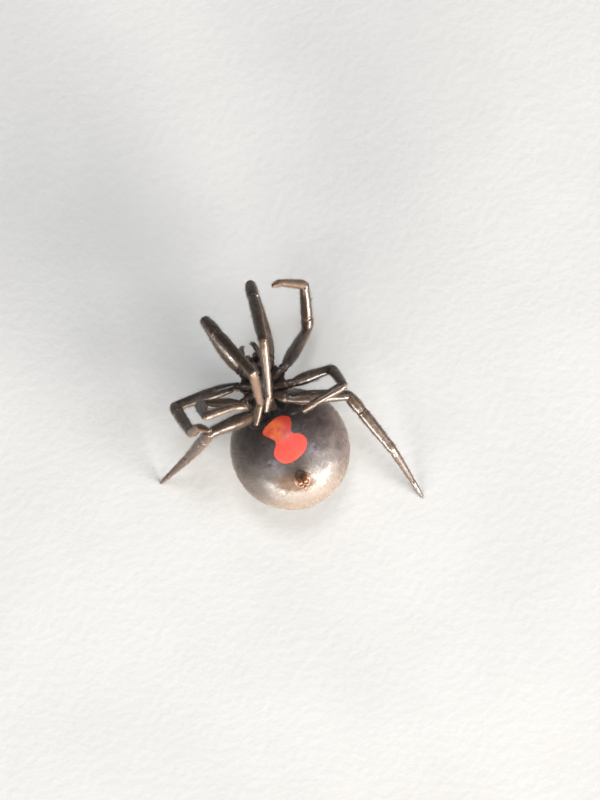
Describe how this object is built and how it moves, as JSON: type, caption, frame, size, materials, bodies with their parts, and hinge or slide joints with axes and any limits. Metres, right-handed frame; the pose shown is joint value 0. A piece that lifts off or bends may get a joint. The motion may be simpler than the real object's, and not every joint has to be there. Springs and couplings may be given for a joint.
{
  "type": "black widow spider",
  "caption": "life-size female black widow spider lying on its back, legs drawn in over the body, red hourglass on the belly",
  "frame": {"origin": "on the small flat on the back of the abdomen that rests on the floor, under the middle of the abdomen", "axes": "+Y runs along the body to the head, +Z away from the floor towards the belly side, +X to the animal's left"},
  "size_m": [0.0152, 0.0168, 0.0113],
  "materials": {
    "abdomen_skin": "glossy black-brown skin with a red hourglass",
    "spinneret_skin": "satin brown",
    "body_shell": "semi-gloss black shell",
    "joint_skin": "soft joint skin",
    "leg_shell": "semi-gloss dark brown shell with fine hairs",
    "foot_shell": "satin brown shell with fine hairs"
  },
  "bodies": {
    "root": {"abdomen": "abdomen_skin", "spinnerets": "spinneret_skin", "carapace": "body_shell", "sternum": "body_shell", "pedicel": "joint_skin", "chelicera_left": "body_shell", "chelicera_right": "body_shell", "palp_left": "leg_shell", "palp_right": "leg_shell", "coxa_left_1": "leg_shell", "femur_left_1": "leg_shell", "tibia_left_1": "leg_shell", "metatarsus_left_1": "foot_shell", "tarsus_left_1": "foot_shell", "coxa_left_2": "leg_shell", "femur_left_2": "leg_shell", "tibia_left_2": "leg_shell", "metatarsus_left_2": "foot_shell", "tarsus_left_2": "foot_shell", "coxa_left_3": "leg_shell", "femur_left_3": "leg_shell", "tibia_left_3": "leg_shell", "metatarsus_left_3": "foot_shell", "tarsus_left_3": "foot_shell", "coxa_left_4": "leg_shell", "femur_left_4": "leg_shell", "tibia_left_4": "leg_shell", "metatarsus_left_4": "foot_shell", "tarsus_left_4": "foot_shell", "coxa_right_1": "leg_shell", "femur_right_1": "leg_shell", "tibia_right_1": "leg_shell", "metatarsus_right_1": "foot_shell", "tarsus_right_1": "foot_shell", "coxa_right_2": "leg_shell", "femur_right_2": "leg_shell", "tibia_right_2": "leg_shell", "metatarsus_right_2": "foot_shell", "tarsus_right_2": "foot_shell", "coxa_right_3": "leg_shell", "femur_right_3": "leg_shell", "tibia_right_3": "leg_shell", "metatarsus_right_3": "foot_shell", "tarsus_right_3": "foot_shell", "coxa_right_4": "leg_shell", "femur_right_4": "leg_shell", "tibia_right_4": "leg_shell", "metatarsus_right_4": "foot_shell", "tarsus_right_4": "foot_shell"}
  },
  "joints": []
}
